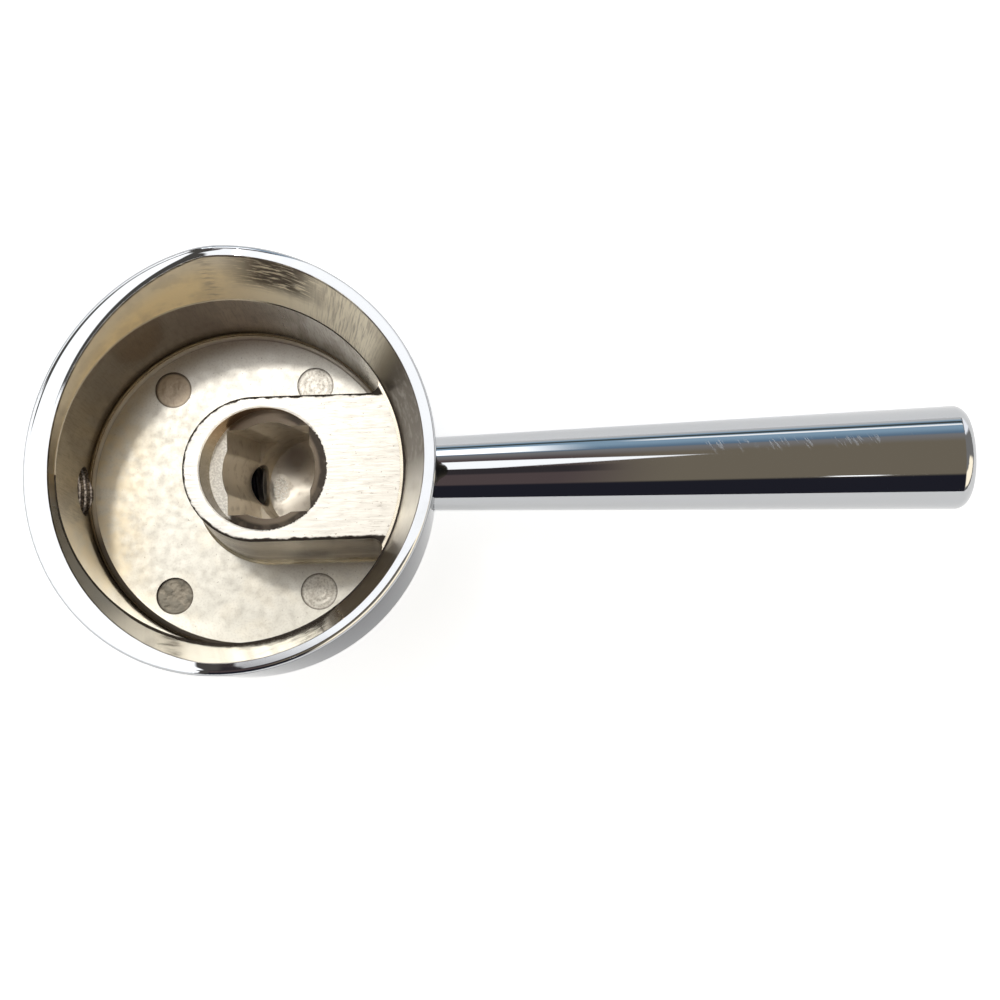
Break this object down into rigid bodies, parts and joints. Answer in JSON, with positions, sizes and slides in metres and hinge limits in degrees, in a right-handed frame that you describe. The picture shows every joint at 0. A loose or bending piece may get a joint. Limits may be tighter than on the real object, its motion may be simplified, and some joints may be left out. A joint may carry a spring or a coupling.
{
  "type": "tap lever handle",
  "caption": "Open cup with a tapered round lever and a leaning square socket that takes a single-lever tap's spindle, locked by a grub screw from behind.",
  "frame": {"origin": "centre of the flat crown that the handle lies on, on the cup's axis", "axes": "+Z out of the open mouth, +X along the lever away from the cup"},
  "size_m": [0.111, 0.048, 0.028],
  "materials": {
    "chromed_casting": "polished chrome outside, thin plating over the bare casting inside",
    "chromed_rod": "polished chrome",
    "black_steel": "black oxide"
  },
  "bodies": {
    "root": {"handle_body": "chromed_casting", "lever": "chromed_rod", "grub_screw": "black_steel"}
  },
  "joints": []
}
